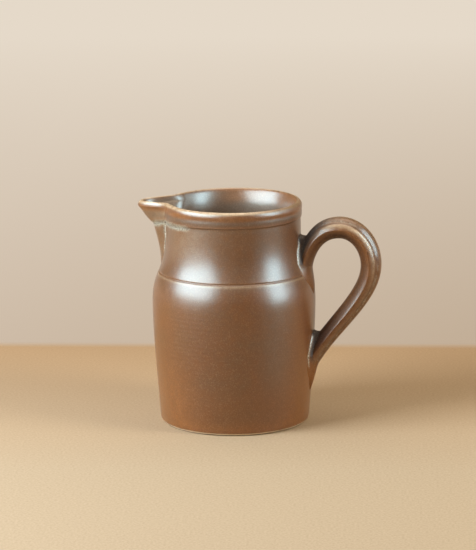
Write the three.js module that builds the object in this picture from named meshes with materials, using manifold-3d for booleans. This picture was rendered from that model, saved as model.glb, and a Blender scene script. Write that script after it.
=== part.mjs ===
// A one-litre stoneware milk jug: a thrown pot, a pressed beak let into a cut in its neck, and a pulled
// strap handle, each luted to the pot with slip. Millimetres, +Z up, the foot on z = 0 about the pot's axis,
// the handle towards +X and the beak towards -X.
import * as THREE from "three";
import { mergeVertices } from "three/addons/utils/BufferGeometryUtils.js";
import Module from "manifold-3d";

const wasm = await Module();
wasm.setup();

// Pot: each rise is the height of one stretch of the side, from the table up
const BELLY_RISE = 87;
const SHOULDER_RISE = 21.7;
const NECK_RISE = 29.3;
const COLLAR_RISE = 9;
const BAND_RISE = 11.7;
const FOOT_RADIUS = 53.2;
const BELLY_RADIUS = 58;
const SHOULDER_RADIUS = 53.3;
const NECK_RADIUS = 47.8;
const RIM_RADIUS = 48.9;
const FOOT_ROUND = 5;
const FOOT_LEAN = 4; // degrees from upright, just above the foot
const SHOULDER_LEAN = 24; // degrees from upright, at the tooled groove
const BAND_STEP = 0.6; // how far the rim band's lower edge stands proud of the neck
const LIP_ROUND = 3.7; // height of the lip's rounding
const LIP_THICKNESS = 5.7;
const NECK_WALL = 7; // thickness of the neck, under the bevel inside the rim
const WALL = 4.8;
const FLOOR = 6;
const INNER_ROUND = 14; // where the floor turns up into the wall
const GROOVE_DEPTH = 0.8;
const GROOVE_WIDTH = 1.8;
const BELLY_EASE = 0.28; // share of the stretch over which its curve leaves each end straight
const SHOULDER_EASE = 0.4; // likewise, at the belly
const NECK_EASE = 0.24; // likewise, at the groove, and twice this at the neck

// Beak: widths are those of the cut in the neck, measured round the wall
const SPOUT_DEPTH = 47; // from the rim down to the foot of the beak
const SPOUT_REACH = 20; // of the pouring lip, beyond the rim
const THROAT_REACH = 10; // of the keel under the rim band, beyond the neck
const THROAT_SWEEP = 0.75; // power of the keel's climb up the throat
const LIP_FLARE = 0.85; // power of its climb across the rim band
const LIP_DROOP = 1.6; // how far the pouring lip dips below the rim
const BAND_DROOP = 6; // how far the rim band's lower edge dips at the keel
const SPOUT_FOOT_WIDTH = 12;
const THROAT_WIDTH = 22;
const SPOUT_TOP_WIDTH = 44;
const TOP_SWEEP = 6; // power of the widening into the rim
const LIP_POINT = 4; // how sharply the pouring lip comes to its point

// Handle: a strap on one centre line, from its root under the neck over the arch to its tail on the belly
const ROOT_DROP = 68; // below the rim
const ARCH_DROP = 17.5;
const ARCH_REACH = 29; // beyond the neck
const GRIP_DROP = 43.5;
const GRIP_REACH = 40.7; // beyond the belly
const TAIL_HEIGHT = 25; // above the table
const ROOT_CLIMB = 21; // height of the steep climb along the neck, below the arch
const ARCH_LEAD = 23; // length of the level lead into the arch
const GRIP_FALL = 28; // length of the upright fall below the grip
const TAIL_STAND = -1.4; // how far the tail's sweep aims off the belly
const TAIL_LIFT = 37; // height of that sweep above the tail
const STRAP_SINK = 1.5; // how deep the strap's ends start inside the wall
const ROOT_WIDTH = 23;
const TAIL_WIDTH = 19;
const ROOT_THICKNESS = 12;
const ARCH_THICKNESS = 15.2;
const TAIL_THICKNESS = 12;
const RIB_DEPTH = 1; // of the two finger grooves that leave three ribs on the outer face
const RIB_SPACING = 0.58; // place of a groove, as a share of the half width
const RIB_WIDTH = 0.13; // of a groove, likewise
const STRAP_CROWN = 2.2; // power of the section's crowned faces
const STRAP_EDGE = 1.25; // power of its rounded edges, which would be sharp at 1
const QUARTER_TURN = 0.55; // share of a quarter turn's sides that makes a cubic curve nearly an ellipse

// Slip joints
const SLIP = 1; // thickness of the joining slip
const SLIP_SKIRT = 2.5; // how far it is wiped out round the strap
const SLIP_EDGE = 0.3; // its thickness at the wiped edge
const CLEARANCE = 0.3; // between neighbouring solids

// Fineness of the facets
const TURN_STEPS = 56;
const SIDE_STEPS = { foot: 4, belly: 7, shoulder: 6, neck: 6, band: 4, floor: 4 };
const STRAP_STEPS = [13, 10, 17]; // root, arch and grip stretches
const STRAP_SIDES = 32;
const SPOUT_STEPS = 18;
const LIP_STEPS = 5;
const PAD_RINGS = 3;
const LEAST_STEP = 1; // mm, between two heights on the wall
const WELD = 1e-4; // mm, within which two corners are one

const bellyZ = BELLY_RISE;
const grooveZ = bellyZ + SHOULDER_RISE;
const neckZ = grooveZ + NECK_RISE;
const bandZ = neckZ + COLLAR_RISE;
const rimZ = bandZ + BAND_RISE;
const lipZ = rimZ - LIP_ROUND;
const seat = CLEARANCE + SLIP + CLEARANCE; // from one luted piece to the other
const degrees = Math.PI / 180;
const { clamp, lerp, mapLinear, smoothstep } = THREE.MathUtils;
const v2 = (x, y) => new THREE.Vector2(x, y);

// Side of the pot, from the table to the lip, as (radius, height) without the tooled groove
function sideProfile() {
  const bellyLead = (bellyZ - FOOT_ROUND) * BELLY_EASE;
  const shoulderLead = SHOULDER_RISE * SHOULDER_EASE;
  const neckLead = NECK_RISE * NECK_EASE;
  const lean = Math.tan(SHOULDER_LEAN * degrees);
  const foot = v2(FOOT_RADIUS, FOOT_ROUND);
  const belly = v2(BELLY_RADIUS, bellyZ);
  const groove = v2(SHOULDER_RADIUS, grooveZ);
  const neck = v2(NECK_RADIUS, neckZ);
  const bandFoot = v2(NECK_RADIUS + BAND_STEP, bandZ + BAND_STEP);
  const lipFoot = v2(RIM_RADIUS, lipZ);
  const footRound = new THREE.EllipseCurve(
    FOOT_RADIUS - FOOT_ROUND, FOOT_ROUND, FOOT_ROUND, FOOT_ROUND, -Math.PI / 2, 0);
  const bellySide = new THREE.CubicBezierCurve(
    foot,
    v2(foot.x + bellyLead * Math.tan(FOOT_LEAN * degrees), foot.y + bellyLead),
    v2(belly.x, belly.y - bellyLead),
    belly);
  const shoulder = new THREE.CubicBezierCurve(
    belly,
    v2(belly.x, belly.y + shoulderLead),
    v2(groove.x + neckLead * lean, groove.y - neckLead),
    groove);
  const neckSide = new THREE.CubicBezierCurve(
    groove,
    v2(groove.x - neckLead * lean, groove.y + neckLead),
    v2(neck.x, neck.y - 2 * neckLead),
    neck);
  const band = new THREE.QuadraticBezierCurve(
    bandFoot, v2(RIM_RADIUS, (bandFoot.y + lipFoot.y) / 2), lipFoot);
  const stretches = [
    [footRound, SIDE_STEPS.foot],
    [bellySide, SIDE_STEPS.belly],
    [shoulder, SIDE_STEPS.shoulder],
    [neckSide, SIDE_STEPS.neck],
  ];
  const toNeck = stretches.flatMap(([curve, steps]) => curve.getPoints(steps).slice(0, -1));
  return [...toNeck, neck, v2(NECK_RADIUS, bandZ), ...band.getPoints(SIDE_STEPS.band)];
}

const side = sideProfile();

// Outer radius of the pot at a height, without the tooled groove
function wallRadius(z) {
  const above = side.findIndex((point) => point.y >= z);
  if (above === 0) return side[0].x;
  if (above < 0) return RIM_RADIUS;
  const [low, high] = [side[above - 1], side[above]];
  return mapLinear(z, low.y, high.y, low.x, high.x);
}

// Inner radius at a height: the wall thickens from the groove to the neck, and the rim is bevelled inside
function boreRadius(z) {
  if (z < neckZ) return wallRadius(z) - lerp(WALL, NECK_WALL, smoothstep(z, grooveZ, neckZ));
  const climb = clamp((z - bandZ) / (lipZ - bandZ), 0, 1);
  return lerp(NECK_RADIUS - NECK_WALL, RIM_RADIUS - LIP_THICKNESS, climb);
}

// Rounding of the lip from its outer to its inner edge: height, and inset as a share of the thickness
function lipRounding(steps) {
  return Array.from({ length: steps + 1 }, (_, i) => {
    const turn = (Math.PI * i) / steps;
    return { z: lipZ + LIP_ROUND * Math.sin(turn), inset: (1 - Math.cos(turn)) / 2 };
  });
}

// The wall above a height as one folded loop: up the outside, over the lip and down the inside
function wallLoop(bottom) {
  const onWall = side.map((point) => point.y).filter((z) => z > bottom + LEAST_STEP && z < lipZ);
  const heights = [bottom, ...onWall];
  const outside = heights.map((z) => ({ z, inset: 0 }));
  const inside = heights.map((z) => ({ z, inset: 1 })).reverse();
  return [...outside, ...lipRounding(LIP_STEPS), ...inside];
}

// Point at an angle, height and radius about the pot's axis
function polar(angle, z, radius) {
  return new THREE.Vector3(radius * Math.cos(angle), radius * Math.sin(angle), z);
}

function geometryOf(points, triangles) {
  const geometry = new THREE.BufferGeometry().setFromPoints(points);
  geometry.setIndex(triangles);
  return geometry;
}

// Skin through closed rings of equal length, with a cap at each end made by the function given
function skin(rings, cap) {
  const count = rings[0].length;
  const triangles = [];
  for (let i = 0; i + 1 < rings.length; i++) {
    for (let k = 0; k < count; k++) {
      const [a, b] = [i * count + k, i * count + ((k + 1) % count)];
      triangles.push(a, b, a + count, b, b + count, a + count);
    }
  }
  const points = rings.flat();
  cap(points, triangles, 0, count, true);
  cap(points, triangles, (rings.length - 1) * count, count, false);
  return geometryOf(points, triangles);
}

// Cap that fans a ring out from a middle point: the first is used at the start, the second at the end
function fanCap(startMiddle, endMiddle) {
  return (points, triangles, first, count, isStart) => {
    const middle = points.push(isStart ? startMiddle : endMiddle) - 1;
    for (let k = 0; k < count; k++) {
      const edge = [first + k, first + ((k + 1) % count)];
      triangles.push(middle, ...(isStart ? edge.reverse() : edge));
    }
  };
}

// Cap of a folded loop, as a strip from its outgoing to its returning half
function stripCap(points, triangles, first, count, isStart) {
  for (let k = 0; k < count / 2 - 1; k++) {
    const [a, b] = [first + k, first + k + 1];
    const [c, d] = [first + count - 2 - k, first + count - 1 - k];
    triangles.push(...(isStart ? [a, c, b, a, d, c] : [a, b, c, a, c, d]));
  }
}

function solidOf(geometry) {
  const bare = geometry.clone();
  bare.deleteAttribute("normal");
  bare.deleteAttribute("uv");
  const merged = mergeVertices(bare, WELD);
  const corners = merged.index.array;
  const triangles = [];
  for (let i = 0; i < corners.length; i += 3) {
    const [a, b, c] = corners.slice(i, i + 3);
    if (a !== b && b !== c && c !== a) triangles.push(a, b, c);
  }
  return new wasm.Manifold(new wasm.Mesh({
    numProp: 3,
    vertProperties: new Float32Array(merged.attributes.position.array),
    triVerts: new Uint32Array(triangles),
  }));
}

function geometryFrom(solid) {
  const mesh = solid.getMesh();
  const geometry = new THREE.BufferGeometry();
  geometry.setAttribute("position", new THREE.BufferAttribute(mesh.vertProperties, 3));
  geometry.setIndex(new THREE.BufferAttribute(mesh.triVerts, 1));
  return geometry;
}

// Solid of revolution about the pot's axis from (radius, height) points that start and end on it
function revolve(points) {
  return new THREE.LatheGeometry(points, TURN_STEPS).rotateX(Math.PI / 2);
}

// The pot filled up and grown outwards, for trimming what is luted onto it
function grownPot(by) {
  const grown = side.map((point) => v2(point.x + by, point.y));
  const below = [v2(0, -by), v2(side[0].x + by, -by)];
  const above = [v2(RIM_RADIUS + by, rimZ + by), v2(0, rimZ + by)];
  return solidOf(revolve([...below, ...grown, ...above]));
}

const spoutZ = rimZ - SPOUT_DEPTH;

// Half the width of the beak at a height, measured round the wall
function spoutHalfWidth(z) {
  const climb = clamp((z - spoutZ) / (lipZ - spoutZ), 0, 1);
  const throat = lerp(SPOUT_FOOT_WIDTH, THROAT_WIDTH, Math.sqrt(climb));
  return lerp(throat, SPOUT_TOP_WIDTH, climb ** TOP_SWEEP) / 2;
}

// How far the keel stands out from the wall at a height
function keelReach(z) {
  if (z < bandZ) return THROAT_REACH * ((z - spoutZ) / (bandZ - spoutZ)) ** THROAT_SWEEP;
  return lerp(THROAT_REACH, SPOUT_REACH, ((z - bandZ) / (lipZ - bandZ)) ** LIP_FLARE);
}

// How far the keel dips below a height on the wall
function keelDroop(z) {
  if (z < bandZ) return mapLinear(z, spoutZ, bandZ, 0, BAND_DROOP);
  return mapLinear(z, bandZ, lipZ, BAND_DROOP, LIP_DROOP);
}

// Share of the keel's reach at a place across the beak, -1 to 1: creased in the throat, swept at the lip
function swell(across, z) {
  const creased = 1 - across * across;
  const bell = (place) => Math.exp(-LIP_POINT * place * place);
  const swept = (bell(across) - bell(1)) / (1 - bell(1));
  return lerp(creased, swept, smoothstep(z, neckZ, lipZ));
}

function spoutPoint(across, { z, inset }) {
  const wallZ = Math.min(z, lipZ);
  const out = swell(across, wallZ);
  const wall = lerp(wallRadius(wallZ), boreRadius(wallZ), inset);
  const angle = Math.PI - (across * spoutHalfWidth(wallZ)) / wallRadius(wallZ);
  return polar(angle, z - keelDroop(wallZ) * out, wall + keelReach(wallZ) * out);
}

function makeSpout() {
  const loop = wallLoop(spoutZ);
  const rings = Array.from({ length: SPOUT_STEPS + 1 }, (_, i) => {
    const across = (2 * i) / SPOUT_STEPS - 1;
    return loop.map((level) => spoutPoint(across, level));
  });
  return skin(rings, stripCap);
}

// Block through the wall that is wider than the beak by a margin at its sides and foot, and open at the rim
function cutBlock(margin) {
  const onWall = wallLoop(spoutZ).filter((level) => level.inset === 0).map((level) => level.z);
  const heights = [spoutZ - margin, ...onWall.slice(1), rimZ + LIP_ROUND];
  const rings = [-1, -0.5, 0, 0.5, 1].map((across) => {
    const place = (z, radius) =>
      polar(Math.PI - (across * (spoutHalfWidth(z) + margin)) / wallRadius(z), z, radius);
    const outside = heights.map((z) => place(z, wallRadius(z) + WALL / 2));
    const inside = heights.map((z) => place(z, boreRadius(z) - WALL / 2));
    return [...outside, ...inside.reverse()];
  });
  return solidOf(skin(rings, stripCap));
}

// The pot itself, with its lip, its tooled groove and its hollow
function makePot() {
  const halfGroove = GROOVE_WIDTH / 2;
  const below = side.filter((point) => point.y < grooveZ - halfGroove);
  const above = side.filter((point) => point.y > grooveZ + halfGroove);
  const groove = [
    v2(wallRadius(grooveZ - halfGroove), grooveZ - halfGroove),
    v2(wallRadius(grooveZ) - GROOVE_DEPTH, grooveZ),
    v2(wallRadius(grooveZ + halfGroove), grooveZ + halfGroove),
  ];
  const overLip = lipRounding(LIP_STEPS).slice(1);
  const lip = overLip.map(({ z, inset }) => v2(RIM_RADIUS - inset * LIP_THICKNESS, z));
  const turnZ = FLOOR + INNER_ROUND;
  const onWall = side.map((point) => point.y).filter((z) => z > turnZ + LEAST_STEP && z < neckZ);
  const needed = onWall.filter((z, i) => i % 2 === 0 || z > grooveZ);
  const innerSide = [...needed, neckZ, bandZ].map((z) => v2(boreRadius(z), z)).reverse();
  const turn = new THREE.EllipseCurve(
    wallRadius(turnZ) - WALL - INNER_ROUND, turnZ, INNER_ROUND, INNER_ROUND, 0, -Math.PI / 2, true);
  const outside = [v2(0, 0), ...below, ...groove, ...above];
  const inside = [...innerSide, ...turn.getPoints(SIDE_STEPS.floor), v2(0, FLOOR)];
  return solidOf(revolve([...outside, ...lip, ...inside]));
}

// Handle: centre line of the strap in its own plane, as (distance from the pot's axis, height)
const archZ = rimZ - ARCH_DROP;
const gripZ = rimZ - GRIP_DROP;
const rootZ = rimZ - ROOT_DROP;
const archX = NECK_RADIUS + ARCH_REACH;
const gripX = BELLY_RADIUS + GRIP_REACH;

function strapStretches() {
  const root = v2(wallRadius(rootZ) - ROOT_THICKNESS / 2 - STRAP_SINK, rootZ);
  const tail = v2(wallRadius(TAIL_HEIGHT) - TAIL_THICKNESS / 2 - STRAP_SINK, TAIL_HEIGHT);
  const arch = v2(archX, archZ);
  const grip = v2(gripX, gripZ);
  return [
    new THREE.CubicBezierCurve(
      root, v2(NECK_RADIUS, archZ - ROOT_CLIMB), v2(archX - ARCH_LEAD, archZ), arch),
    new THREE.CubicBezierCurve(
      arch,
      v2(lerp(archX, gripX, QUARTER_TURN), archZ),
      v2(gripX, lerp(gripZ, archZ, QUARTER_TURN)),
      grip),
    new THREE.CubicBezierCurve(
      grip, v2(gripX, gripZ - GRIP_FALL), v2(BELLY_RADIUS + TAIL_STAND, TAIL_HEIGHT + TAIL_LIFT), tail),
  ];
}

// Outline of the strap across its length: two crowned faces, with two finger grooves on the outer one
function strapSection(width, thickness) {
  const raised = (value, power) => Math.sign(value) * Math.abs(value) ** power;
  return Array.from({ length: STRAP_SIDES }, (_, k) => {
    const turn = (2 * Math.PI * k) / STRAP_SIDES;
    const across = raised(Math.cos(turn), 2 / STRAP_CROWN);
    const off = raised(Math.sin(turn), 2 / STRAP_EDGE);
    const fromGroove = (Math.abs(across) - RIB_SPACING) / RIB_WIDTH;
    const groove = off > 0 ? RIB_DEPTH * Math.exp(-fromGroove * fromGroove) : 0;
    return v2((across * width) / 2, (off * thickness) / 2 - groove);
  });
}

function strapRings() {
  const stretches = strapStretches();
  const lengths = stretches.map((curve) => curve.getLength());
  const whole = lengths.reduce((sum, length) => sum + length, 0);
  const archPlace = lengths[0] / whole;
  const rings = [];
  let before = 0;
  stretches.forEach((curve, i) => {
    const steps = STRAP_STEPS[i];
    const last = i + 1 === stretches.length ? steps : steps - 1;
    for (let step = 0; step <= last; step++) {
      const middle = curve.getPointAt(step / steps);
      const along = curve.getTangentAt(step / steps);
      const place = (before + (lengths[i] * step) / steps) / whole;
      const width = lerp(ROOT_WIDTH, TAIL_WIDTH, place);
      const thickening = lerp(ROOT_THICKNESS, ARCH_THICKNESS, smoothstep(place, 0, archPlace));
      const thickness = lerp(thickening, TAIL_THICKNESS, smoothstep(place, archPlace, 1));
      rings.push(strapSection(width, thickness).map(({ x, y }) =>
        new THREE.Vector3(middle.x - along.y * y, x, middle.y + along.x * y)));
    }
    before += lengths[i];
  });
  return rings;
}

const strap = strapRings();

function middleOf(ring) {
  return ring.reduce((sum, point) => sum.add(point), new THREE.Vector3()).divideScalar(ring.length);
}

function makeHandle() {
  const whole = skin(strap, fanCap(middleOf(strap[0]), middleOf(strap.at(-1))));
  return geometryFrom(solidOf(whole).subtract(grownPot(seat)));
}

// Height of a point above the pot's wall
const aboveWall = (point) => Math.hypot(point.x, point.y) - wallRadius(point.z);

// Outline of the strap's end on the wall, as (distance round the wall, height), searched from that end
function strapFootprint(rings, wall) {
  return rings[0].map((_, k) => {
    const first = rings.findIndex((ring) => aboveWall(ring[k]) > seat);
    const [from, to] = [rings[first - 1][k], rings[first][k]];
    const share = (seat - aboveWall(from)) / (aboveWall(to) - aboveWall(from));
    const point = from.clone().lerp(to, share);
    return v2(Math.atan2(point.y, point.x) * wall, point.z);
  });
}

// Pad of slip between the wall and an end of the strap, wiped out thin all round it
function makeStrapSlip(rings) {
  const wall = wallRadius(rings[0][0].z);
  const footprint = strapFootprint(rings, wall);
  const count = footprint.length;
  const middle = footprint.reduce((sum, point) => sum.add(point), v2(0, 0)).divideScalar(count);
  const skirt = footprint.map((point, k) => {
    const along = footprint[(k + 1) % count].clone().sub(footprint[(k + count - 1) % count]).normalize();
    const outward = v2(along.y, -along.x);
    return point.clone().addScaledVector(outward, SLIP_SKIRT);
  });
  const onWall = (point, height) => polar(point.x / wall, point.y, wallRadius(point.y) + height);
  const spread = Array.from({ length: PAD_RINGS }, (_, i) =>
    footprint.map((point) => middle.clone().lerp(point, (i + 1) / PAD_RINGS)));
  const place = (outline, height) => outline.map((point) => onWall(point, height));
  const top = CLEARANCE + SLIP;
  const padRings = [
    ...spread.map((outline) => place(outline, CLEARANCE)),
    place(skirt, CLEARANCE),
    place(skirt, CLEARANCE + SLIP_EDGE),
    ...spread.map((outline) => place(outline, top)).reverse(),
  ];
  return skin(padRings, fanCap(onWall(middle, CLEARANCE), onWall(middle, top)));
}

const glaze = { color: 0x7a5436, roughness: 0.38, metalness: 0 };
const pooledGlaze = { color: 0x9a8a76, roughness: 0.4, metalness: 0 };

const jug = new THREE.Group();

function addPiece(name, geometry, look) {
  const mesh = new THREE.Mesh(geometry, new THREE.MeshStandardMaterial(look));
  mesh.name = name;
  jug.add(mesh);
}

const pot = makePot();
const strapFromTail = strap.map((ring) => [...ring].reverse()).reverse();
const slipLayer = cutBlock(CLEARANCE + SLIP).subtract(cutBlock(CLEARANCE));

addPiece("body", geometryFrom(pot.subtract(cutBlock(seat))), glaze);
addPiece("spout", makeSpout(), glaze);
addPiece("spout_slip_seam", geometryFrom(pot.intersect(slipLayer)), pooledGlaze);
addPiece("handle", makeHandle(), glaze);
addPiece("handle_upper_slip", makeStrapSlip(strap), pooledGlaze);
addPiece("handle_lower_slip", makeStrapSlip(strapFromTail), pooledGlaze);

export default jug;
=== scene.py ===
"""Looks of a stoneware milk jug: glazed pot, beak and strap handle, with the slip joints between them.

Shapes are worked out in millimetres, as the part is drawn, and scaled to metres when a mesh is made.
"""
import math

import bmesh
import bpy
import numpy as np
from mathutils import Matrix, Vector


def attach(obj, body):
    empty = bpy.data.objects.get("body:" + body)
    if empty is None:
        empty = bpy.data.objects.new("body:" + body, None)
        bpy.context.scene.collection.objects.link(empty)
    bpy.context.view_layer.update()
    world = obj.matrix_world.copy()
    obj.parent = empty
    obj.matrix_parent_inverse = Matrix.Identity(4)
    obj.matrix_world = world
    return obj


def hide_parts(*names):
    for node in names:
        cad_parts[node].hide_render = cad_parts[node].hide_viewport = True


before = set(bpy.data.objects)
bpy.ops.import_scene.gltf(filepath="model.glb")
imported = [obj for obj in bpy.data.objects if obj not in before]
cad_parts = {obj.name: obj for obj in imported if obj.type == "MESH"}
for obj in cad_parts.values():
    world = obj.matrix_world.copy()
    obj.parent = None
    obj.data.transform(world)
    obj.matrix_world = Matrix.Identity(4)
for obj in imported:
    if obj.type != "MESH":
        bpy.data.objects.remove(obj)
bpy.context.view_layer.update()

MM = 0.001
SHARP_EDGE = math.radians(50)

# Pot: each rise is the height of one stretch of the side, from the table up
BELLY_RISE = 87
SHOULDER_RISE = 21.7
NECK_RISE = 29.3
COLLAR_RISE = 9
BAND_RISE = 11.7
FOOT_RADIUS = 53.2
BELLY_RADIUS = 58
SHOULDER_RADIUS = 53.3
NECK_RADIUS = 47.8
RIM_RADIUS = 48.9
FOOT_ROUND = 3
FOOT_LEAN = math.tan(math.radians(4))
SHOULDER_LEAN = math.tan(math.radians(24))
BAND_STEP = 0.6
LIP_ROUND = 3.7
LIP_THICKNESS = 5.7
NECK_WALL = 7
BEVEL_SOFTNESS = 0.6  # how gently the bevel inside the lip begins
BEVEL_SWEEP = 1.7  # power of its curve
WALL = 4.8
FLOOR = 6
INNER_ROUND = 14
GROOVE_DEPTH = 0.45
GROOVE_WIDTH = 1.2
BELLY_EASE = 0.28  # share of a stretch's rise that the lead of its curve takes
SHOULDER_EASE = 0.4
NECK_EASE = 0.24

# Rim band: a roll at the lip and a lower one above the band's edge
LIP_ROLL = 0.4
BAND_ROLL = 0.2
LIP_ROLL_WIDTH = 1.6
BAND_ROLL_WIDTH = 1.7
BAND_ROLL_RISE = 3.9  # middle of the lower roll above the band's edge
VALLEY_RISE = 6.3  # the valley between the rolls above the band's edge
STEP_BELOW = 0.4  # where the band's step begins below the band's edge
STEP_ABOVE = 1.0  # and where it ends above it
BAND_SAG = 2.2  # how far the band's edge sags beside the beak
SAG_RUN = 38  # how far round the wall that goes
SAG_HEIGHT = 5  # and how far up and down

# Beak: widths are measured round the wall
SPOUT_DEPTH = 47
SPOUT_REACH = 20
THROAT_REACH = 10
THROAT_SWEEP = 0.75  # power with which the throat's reach grows over its height
LIP_FLARE = 0.85  # and the lip's
LIP_DROOP = 1.6
BAND_DROOP = 6
SPOUT_FOOT_WIDTH = 12
THROAT_WIDTH = 22
SPOUT_TOP_WIDTH = 44
TOP_SWEEP = 6  # power with which the beak widens toward the lip
LIP_POINT = 4  # how sharply the lip comes to a point
LIP_SOFTNESS = 0.03
CREASE_SOFTNESS = 0.1
INNER_CREASE_SOFTNESS = 0.35
CREASE_END = 1.45  # where the beak's swell has faded out, in half widths
SEAM_IN = 0.5  # width of the slip seam on the beak's side of the crease
SEAM_OUT = 1.6  # and on the pot's side

# Slight unevenness left by the potter's hands
OVAL = 0.14
OVAL_TURN = 0.8
LOBES = 0.08
LOBE_TWIST = 0.045  # turn of the three lobes, in radians for each millimetre of height
RIDGE_HEIGHT = 0.035
RIDGE_PITCH = 1.9  # of the throwing ridges, in radians for each millimetre of height

# Handle
ROOT_DROP = 68
ARCH_DROP = 17.5
ARCH_REACH = 29
GRIP_DROP = 43.5
GRIP_REACH = 40.7
TAIL_HEIGHT = 25
ROOT_CLIMB = 21
ARCH_LEAD = 19
GRIP_FALL = 28
TAIL_STAND = -1.4
TAIL_LIFT = 37
STRAP_SINK = 1.5
ROOT_WIDTH = 23
TAIL_WIDTH = 19
ROOT_THICKNESS = 11
ARCH_THICKNESS = 15.2
TAIL_THICKNESS = 12
RIB_DEPTH = 1.0
RIB_SPACING = 0.58  # of the grooves between the ribs from the strap's middle, in half widths
RIB_WIDTH = 0.13
STRAP_CROWN = 2.2  # power of the section's crowned faces
STRAP_EDGE = 1.25  # power of its rounded edges, nearly sharp at 1
SWELL_START = 0.3  # where the strap begins to thicken, as a share of the way to the arch
QUARTER_TURN = 0.55  # lead of a curve that turns through a right angle

# Slip coves round the strap's ends: rise up the strap and run along the wall, in the notch between strap and
# wall, at the strap's edges, and where the strap's other face tapers out into the wall
NOTCH_RISE = 5
NOTCH_RUN = 0.6
EDGE_RISE = 2.8
EDGE_RUN = 4.2
TAPER_RISE = 5.2
TAPER_RUN = 21
TAPER_FULLNESS = 3.2  # how far the taper's curve stands off the wall near its foot
TAPER_PINCH = 0.15  # share by which the taper narrows at its foot
TAPER_HOLD = 0.2  # share of a cove's slope along which it follows the strap
NOTCH_HOLD = 0.35
COVE_SINK = 0.05  # how far a cove's foot lies under the wall's face
NOTCH_SINK = 0.03  # and its curve near the foot, in the notch
COVE_LEAD = 0.6  # share of the run where that curve is set

# Glaze of the pot: how strongly it shows rust where thin, cream on crests, a grey veil, and painted shade;
# some of these also paint light, as the notes below say
LIP_RUST = 0.85
BEAK_LIP_RUST = 0.75
BEVEL_RUST = 0.8
BAND_RUST = 0.4
GROOVE_RUST = 0.25
KEEL_RUST = 0.4
FOOT_RUST = 0.4
LOW_WALL_RUST = 0.25
# The next one also paints the warm light on the beak's side: partly rust, partly painted light
LIT_FRONT_RUST = 0.75  # on the beak's side
BACK_RUST = 0.7  # on the handle's side
BELLY_RUST_LOSS = 0.45  # share of those two that is lost from the belly up
# On the lip the cream is partly a painted highlight
HANDLE_LIP_CREAM = 0.4  # on the handle's side of the lip, which is full cream elsewhere
GROOVE_CREAM = 0.4
# These three are a painted sheen on the neck beside the beak and on the beak
NECK_SHEEN = 0.2
BEAK_SHEEN = 0.1
BEAK_BAND_SHEEN = 0.2
ROLL_VEIL = 0.75
UNDER_BAND_VEIL = 0.6
# The runs are a vertical grey at each side, a painted reflection of soft side light
SIDE_REFLECTION = 0.7
NECK_VEIL = 0.3
# These five paint shade: dark lines in the groove and under the band's edge as painted shadow, and a painted
# shade on the band
GROOVE_DARK_FRONT = 0.05
GROOVE_DARK_BACK = 0.16
BAND_DARK = 0.24
BEAK_BAND_DARK = 0.56
BAND_SHADE = 0.14
BEVEL_GREY_LOSS = 0.6  # share of the inside's grey that is lost on the bevel

# Fineness of the meshes
FOOT_STEPS = 12
BELLY_STEPS = 90
SHOULDER_STEPS = 40
NECK_STEPS = 40
UNDERSIDE_ROWS = 11
FOOT_ROWS = 11
BELLY_ROWS = 99
GROOVE_ROWS = 16
NECK_ROWS = 35
BAND_ROWS = 43
LIP_ROWS = 24
BORE_ROWS = 59
INNER_TURN_ROWS = 15
FLOOR_ROWS = 19
SEAM_FOOT_ROWS = 3
SPOUT_COLUMNS = 64
SEAM_COLUMNS = 6
POT_COLUMNS = 180
STRAP_SAMPLES = 6000
CURVE_STEPS = 4000
STRAP_RINGS = 240
STRAP_STEP = 0.002  # share of the strap's length along which its direction is taken
STRAP_SIDES = 96
COVE_RINGS = 12

BELLY_Z = BELLY_RISE
GROOVE_Z = BELLY_Z + SHOULDER_RISE
NECK_Z = GROOVE_Z + NECK_RISE
BAND_Z = NECK_Z + COLLAR_RISE
RIM_Z = BAND_Z + BAND_RISE
LIP_Z = RIM_Z - LIP_ROUND
SPOUT_Z = RIM_Z - SPOUT_DEPTH
BAND_ROLL_Z = BAND_Z + BAND_ROLL_RISE
VALLEY_Z = BAND_Z + VALLEY_RISE
FINE_BELOW = 2  # the rows are finer from this far below the groove and the band


def lerp(start, end, share):
    return start + (end - start) * share


def smoothstep(value, low, high):
    share = np.clip((value - low) / (high - low), 0, 1)
    return share * share * (3 - 2 * share)


def fade_out(value, low, high):
    return 1 - smoothstep(value, low, high)


def bump(value, middle, width):
    return np.exp(-(((value - middle) / width) ** 2))


def bezier(corners, steps):
    a, b, c, d = np.array(corners, dtype=float)
    t = np.linspace(0, 1, steps + 1)[:, None]
    return (1 - t) ** 3 * a + 3 * (1 - t) ** 2 * t * b + 3 * (1 - t) * t**2 * c + t**3 * d


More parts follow.
